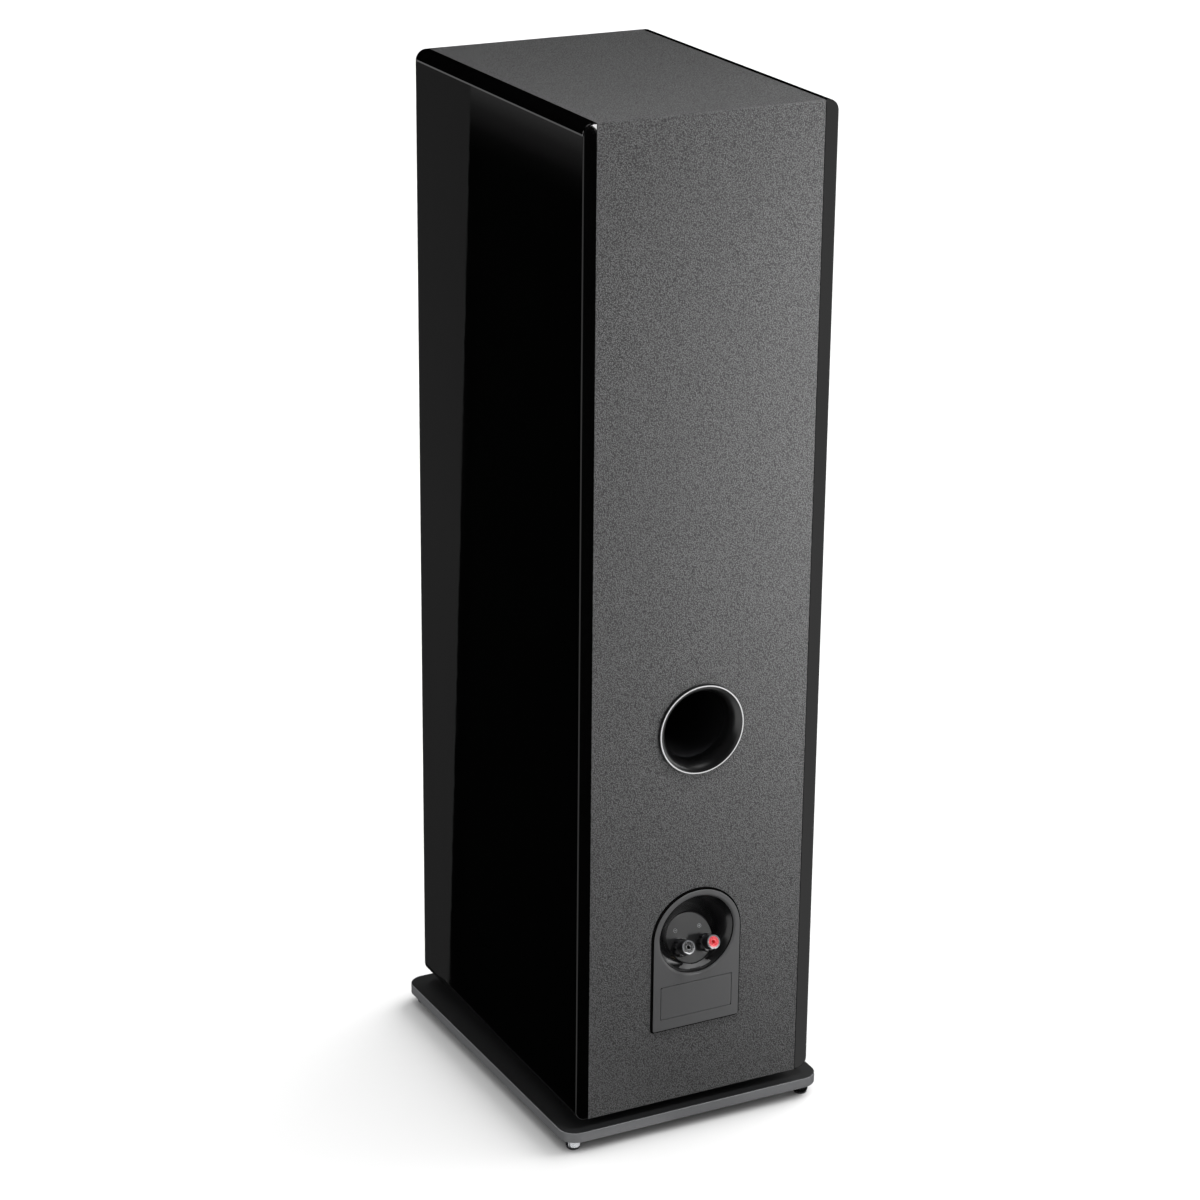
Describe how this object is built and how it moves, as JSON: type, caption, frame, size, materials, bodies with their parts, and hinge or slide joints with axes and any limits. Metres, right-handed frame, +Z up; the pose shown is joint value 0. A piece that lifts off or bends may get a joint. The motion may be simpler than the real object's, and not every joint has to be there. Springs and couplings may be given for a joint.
{
  "type": "floorstanding speaker",
  "caption": "Tall floorstanding loudspeaker: leather-wrapped cabinet between gloss black sides, rear port, binding posts, drivers on the front and a levelling plinth.",
  "frame": {"origin": "centre of the bounding box at the floor under the feet", "axes": "+Z up, front baffle faces -Y, rear panel with port and terminals faces +Y, +X is the left side seen from the front"},
  "size_m": [0.3, 0.3872, 1.032],
  "materials": {
    "wrap": "fine pebble grain, satin",
    "gloss_black": "deep gloss lacquer",
    "baffle_black": "satin lacquer",
    "fibreboard": "raw, matte",
    "damping_wool": "soft, matte",
    "plinth_satin": "satin dark anodised",
    "dark_plastic": "matte",
    "bright_steel": "brushed",
    "insert_brass": "machined",
    "sole_rubber": "matte",
    "port_gloss": "semi-gloss moulded",
    "terminal_grey": "satin moulded",
    "gold": "bright plated",
    "cap_black": "satin",
    "cap_red_ring": "gloss",
    "board_green": "solder-mask",
    "copper": "enamelled winding",
    "capacitor_film": "wrapped film",
    "cement": "matte",
    "cast_frame": "fine textured paint",
    "surround_rubber": "matte",
    "cone_metal": "satin anodised",
    "spider_cloth": "woven",
    "ferrite": "dark",
    "screw_black": "black oxide"
  },
  "bodies": {
    "cabinet": {"top_panel": "wrap", "bottom_panel": "wrap", "rear_panel": "wrap", "front_baffle": "baffle_black", "core_wall_left": "fibreboard", "core_wall_right": "fibreboard", "gloss_panel_left": "gloss_black", "gloss_panel_right": "gloss_black", "braces": "fibreboard", "mid_chamber": "fibreboard", "damping_pad": "damping_wool", "plinth": "plinth_satin", "plinth_spacers": "dark_plastic", "plinth_bolts": "bright_steel", "foot_inserts": "insert_brass", "port_flare": "port_gloss", "port_tube": "dark_plastic", "terminal_cup": "terminal_grey", "stud_black": "bright_steel", "stud_red": "bright_steel", "stud_nuts": "bright_steel", "crossover_board": "board_green", "board_standoffs": "dark_plastic", "inductors": "copper", "capacitors": "capacitor_film", "resistors": "cement", "tweeter_faceplate": "cast_frame", "tweeter_surround": "surround_rubber", "tweeter_magnet": "ferrite", "mid_basket": "cast_frame", "mid_surround": "surround_rubber", "mid_spider": "spider_cloth", "mid_magnet": "ferrite", "woofer_upper_basket": "cast_frame", "woofer_upper_surround": "surround_rubber", "woofer_upper_spider": "spider_cloth", "woofer_upper_magnet": "ferrite", "woofer_lower_basket": "cast_frame", "woofer_lower_surround": "surround_rubber", "woofer_lower_spider": "spider_cloth", "woofer_lower_magnet": "ferrite", "driver_screws": "screw_black"},
    "woofer_upper": {"woofer_upper_cone": "cone_metal"},
    "woofer_lower": {"woofer_lower_cone": "cone_metal"},
    "midrange": {"mid_cone": "cone_metal"},
    "tweeter": {"tweeter_dome": "cone_metal"},
    "clamp_black": {"washer_black": "gold"},
    "knob_black": {"cap_black": "cap_black", "cap_insert_black": "cap_black"},
    "clamp_red": {"washer_red": "gold"},
    "knob_red": {"cap_red": "cap_black", "cap_insert_red": "cap_red_ring"},
    "sole_front_left": {"sole_front_left": "sole_rubber"},
    "foot_front_left": {"foot_front_left": "bright_steel"},
    "sole_front_right": {"sole_front_right": "sole_rubber"},
    "foot_front_right": {"foot_front_right": "bright_steel"},
    "sole_rear_left": {"sole_rear_left": "sole_rubber"},
    "foot_rear_left": {"foot_rear_left": "bright_steel"},
    "sole_rear_right": {"sole_rear_right": "sole_rubber"},
    "foot_rear_right": {"foot_rear_right": "bright_steel"}
  },
  "joints": [
    {"name": "woofer_upper_travel", "type": "slide", "parent": "cabinet", "child": "woofer_upper", "axis": [0, -1, 0], "range_m": [-0.005, 0.005], "stiffness_N_per_m": 1500, "deforming": ["woofer_upper_surround", "woofer_upper_spider"]},
    {"name": "woofer_lower_travel", "type": "slide", "parent": "cabinet", "child": "woofer_lower", "axis": [0, -1, 0], "range_m": [-0.005, 0.005], "stiffness_N_per_m": 1500, "deforming": ["woofer_lower_surround", "woofer_lower_spider"]},
    {"name": "midrange_travel", "type": "slide", "parent": "cabinet", "child": "midrange", "axis": [0, -1, 0], "range_m": [-0.003, 0.003], "stiffness_N_per_m": 1500, "deforming": ["mid_surround", "mid_spider"]},
    {"name": "tweeter_travel", "type": "slide", "parent": "cabinet", "child": "tweeter", "axis": [0, -1, 0], "range_m": [-0.0005, 0.0005], "stiffness_N_per_m": 1500, "deforming": ["tweeter_surround"]},
    {"name": "clamp_black_slide", "type": "slide", "parent": "cabinet", "child": "clamp_black", "axis": [0, 0.8988, 0.4384], "range_m": [0, 0.005]},
    {"name": "knob_black_turn", "type": "hinge", "parent": "clamp_black", "child": "knob_black", "pos_m": [0.014, 0.1775, 0.19747], "axis": [0, 0.8988, 0.4384], "range_deg": [0, 1801]},
    {"name": "clamp_red_slide", "type": "slide", "parent": "cabinet", "child": "clamp_red", "axis": [0, 0.8988, 0.4384], "range_m": [0, 0.005]},
    {"name": "knob_red_turn", "type": "hinge", "parent": "clamp_red", "child": "knob_red", "pos_m": [-0.014, 0.1775, 0.19747], "axis": [0, 0.8988, 0.4384], "range_deg": [0, 1801]},
    {"name": "level_front_left_slide", "type": "slide", "parent": "cabinet", "child": "sole_front_left", "axis": [0, 0, -1], "range_m": [0, 0.005]},
    {"name": "level_front_left_turn", "type": "hinge", "parent": "sole_front_left", "child": "foot_front_left", "pos_m": [0.135, -0.1786, 0.012], "axis": [0, 0, -1], "range_deg": [0, 1441]},
    {"name": "level_front_right_slide", "type": "slide", "parent": "cabinet", "child": "sole_front_right", "axis": [0, 0, -1], "range_m": [0, 0.005]},
    {"name": "level_front_right_turn", "type": "hinge", "parent": "sole_front_right", "child": "foot_front_right", "pos_m": [-0.135, -0.1786, 0.012], "axis": [0, 0, -1], "range_deg": [0, 1441]},
    {"name": "level_rear_left_slide", "type": "slide", "parent": "cabinet", "child": "sole_rear_left", "axis": [0, 0, -1], "range_m": [0, 0.005]},
    {"name": "level_rear_left_turn", "type": "hinge", "parent": "sole_rear_left", "child": "foot_rear_left", "pos_m": [0.13, 0.1714, 0.012], "axis": [0, 0, -1], "range_deg": [0, 1441]},
    {"name": "level_rear_right_slide", "type": "slide", "parent": "cabinet", "child": "sole_rear_right", "axis": [0, 0, -1], "range_m": [0, 0.005]},
    {"name": "level_rear_right_turn", "type": "hinge", "parent": "sole_rear_right", "child": "foot_rear_right", "pos_m": [-0.13, 0.1714, 0.012], "axis": [0, 0, -1], "range_deg": [0, 1441]}
  ],
  "couplings": [
    {"joint": "knob_black_turn", "follows": "clamp_black_slide", "rad_per_m": 6283.2},
    {"joint": "knob_red_turn", "follows": "clamp_red_slide", "rad_per_m": 6283.2},
    {"joint": "level_front_left_turn", "follows": "level_front_left_slide", "rad_per_m": 5026.5},
    {"joint": "level_front_right_turn", "follows": "level_front_right_slide", "rad_per_m": 5026.5},
    {"joint": "level_rear_left_turn", "follows": "level_rear_left_slide", "rad_per_m": 5026.5},
    {"joint": "level_rear_right_turn", "follows": "level_rear_right_slide", "rad_per_m": 5026.5}
  ]
}
